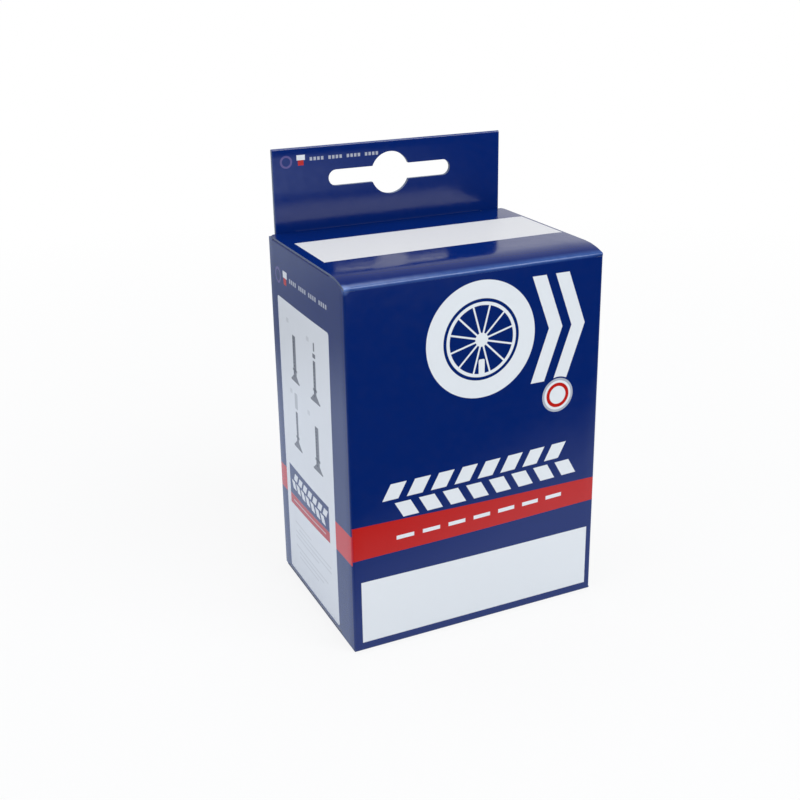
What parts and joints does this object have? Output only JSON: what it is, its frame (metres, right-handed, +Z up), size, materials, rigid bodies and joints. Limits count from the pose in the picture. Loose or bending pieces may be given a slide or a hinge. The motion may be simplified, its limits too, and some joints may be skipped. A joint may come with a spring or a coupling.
{
  "type": "boxed bicycle inner tube",
  "caption": "Upright creased carton with a hang tab and tuck closures, holding a folded bicycle inner tube with a capped car-type valve.",
  "frame": {"origin": "centre of the closed carton's base", "axes": "+Z up through the carton's height, -Y out of the front panel, +X to the right when the front is faced"},
  "size_m": [0.068, 0.05, 0.1147],
  "materials": {
    "printed_board": "navy print under a gloss varnish on white folding boxboard",
    "plain_board": "unprinted white folding boxboard",
    "butyl": "matt black butyl with a trace of talc",
    "band_rubber": "natural rubber band",
    "seal_rubber": "moulded sealing rubber",
    "nickel": "nickel-plated brass",
    "brass": "turned brass",
    "spring_steel": "drawn spring wire",
    "cap_plastic": "black moulded plastic"
  },
  "bodies": {
    "carton": {"front_panel": "printed_board", "left_panel": "printed_board", "right_panel": "printed_board", "back_panel": "printed_board", "glue_flap": "plain_board"},
    "lid": {"lid_panel": "printed_board"},
    "lid_tuck": {"lid_tuck_flap": "printed_board"},
    "left_dust": {"left_dust_flap": "plain_board"},
    "right_dust": {"right_dust_flap": "plain_board"},
    "hang_tab": {"tab_rear_ply": "printed_board", "tab_front_ply": "printed_board"},
    "bottom": {"bottom_panel": "printed_board"},
    "bottom_tuck": {"bottom_tuck_flap": "printed_board"},
    "bottom_left_dust": {"bottom_left_dust_flap": "plain_board"},
    "bottom_right_dust": {"bottom_right_dust_flap": "plain_board"},
    "tube": {"inner_tube": "butyl", "elastic_band": "band_rubber", "valve_base": "butyl", "valve_stem": "nickel", "core_plug": "brass", "core_barrel": "brass", "core_seal": "seal_rubber", "core_spring": "spring_steel"},
    "nut": {"rim_nut": "nickel"},
    "pin": {"core_pin": "brass", "core_pin_seal": "seal_rubber"},
    "gasket": {"cap_gasket": "seal_rubber"},
    "cap": {"valve_cap": "cap_plastic"}
  },
  "joints": [
    {"name": "lid_open", "type": "hinge", "parent": "carton", "child": "lid", "pos_m": [0, -0.025, 0.09202], "axis": [1, 0, 0], "range_deg": [0, 200]},
    {"name": "lid_tuck_fold", "type": "hinge", "parent": "lid", "child": "lid_tuck", "pos_m": [0, 0.0239, 0.0935], "axis": [1, 0, 0], "range_deg": [0, 30]},
    {"name": "left_dust_fold", "type": "hinge", "parent": "carton", "child": "left_dust", "pos_m": [-0.034, 0, 0.09295], "axis": [0, -1, 0], "range_deg": [0, 90]},
    {"name": "right_dust_fold", "type": "hinge", "parent": "carton", "child": "right_dust", "pos_m": [0.034, 0, 0.09295], "axis": [0, 1, 0], "range_deg": [0, 90]},
    {"name": "hang_tab_fold", "type": "hinge", "parent": "carton", "child": "hang_tab", "pos_m": [0, 0.025, 0.09457], "axis": [1, 0, 0], "range_deg": [-175, 88]},
    {"name": "bottom_open", "type": "hinge", "parent": "carton", "child": "bottom", "pos_m": [0, -0.025, 0], "axis": [-1, 0, 0], "range_deg": [0, 200]},
    {"name": "bottom_tuck_fold", "type": "hinge", "parent": "bottom", "child": "bottom_tuck", "pos_m": [0, 0.0239, 0], "axis": [-1, 0, 0], "range_deg": [0, 30]},
    {"name": "bottom_left_dust_fold", "type": "hinge", "parent": "carton", "child": "bottom_left_dust", "pos_m": [-0.034, 0, 0.00055], "axis": [0, 1, 0], "range_deg": [0, 90]},
    {"name": "bottom_right_dust_fold", "type": "hinge", "parent": "carton", "child": "bottom_right_dust", "pos_m": [0.034, 0, 0.00055], "axis": [0, -1, 0], "range_deg": [0, 90]},
    {"name": "tube_lift", "type": "slide", "parent": "carton", "child": "tube", "axis": [0, 0, 1], "range_m": [0, 0.005]},
    {"name": "nut_turn", "type": "hinge", "parent": "tube", "child": "nut", "pos_m": [0, -0.00228, 0.02], "axis": [0, 0, 1], "continuous": true},
    {"name": "pin_press", "type": "slide", "parent": "tube", "child": "pin", "axis": [0, 0, -1], "range_m": [0, 0.0015], "stiffness_N_per_m": 900, "deforming": ["core_spring"]},
    {"name": "cap_lift", "type": "slide", "parent": "tube", "child": "gasket", "axis": [0, 0, 1], "range_m": [0, 0.0095]},
    {"name": "cap_turn", "type": "hinge", "parent": "gasket", "child": "cap", "pos_m": [0, -0.00228, 0.045], "axis": [0, 0, 1], "range_deg": [0, 4320]}
  ],
  "couplings": [
    {"joint": "lid_tuck_fold", "follows": "lid_open", "ratio": 0.15},
    {"joint": "left_dust_fold", "follows": "lid_open", "ratio": 0.45},
    {"joint": "right_dust_fold", "follows": "lid_open", "ratio": 0.45},
    {"joint": "bottom_tuck_fold", "follows": "bottom_open", "ratio": 0.15},
    {"joint": "bottom_left_dust_fold", "follows": "bottom_open", "ratio": 0.45},
    {"joint": "bottom_right_dust_fold", "follows": "bottom_open", "ratio": 0.45},
    {"joint": "cap_turn", "follows": "cap_lift", "rad_per_m": 7915}
  ]
}
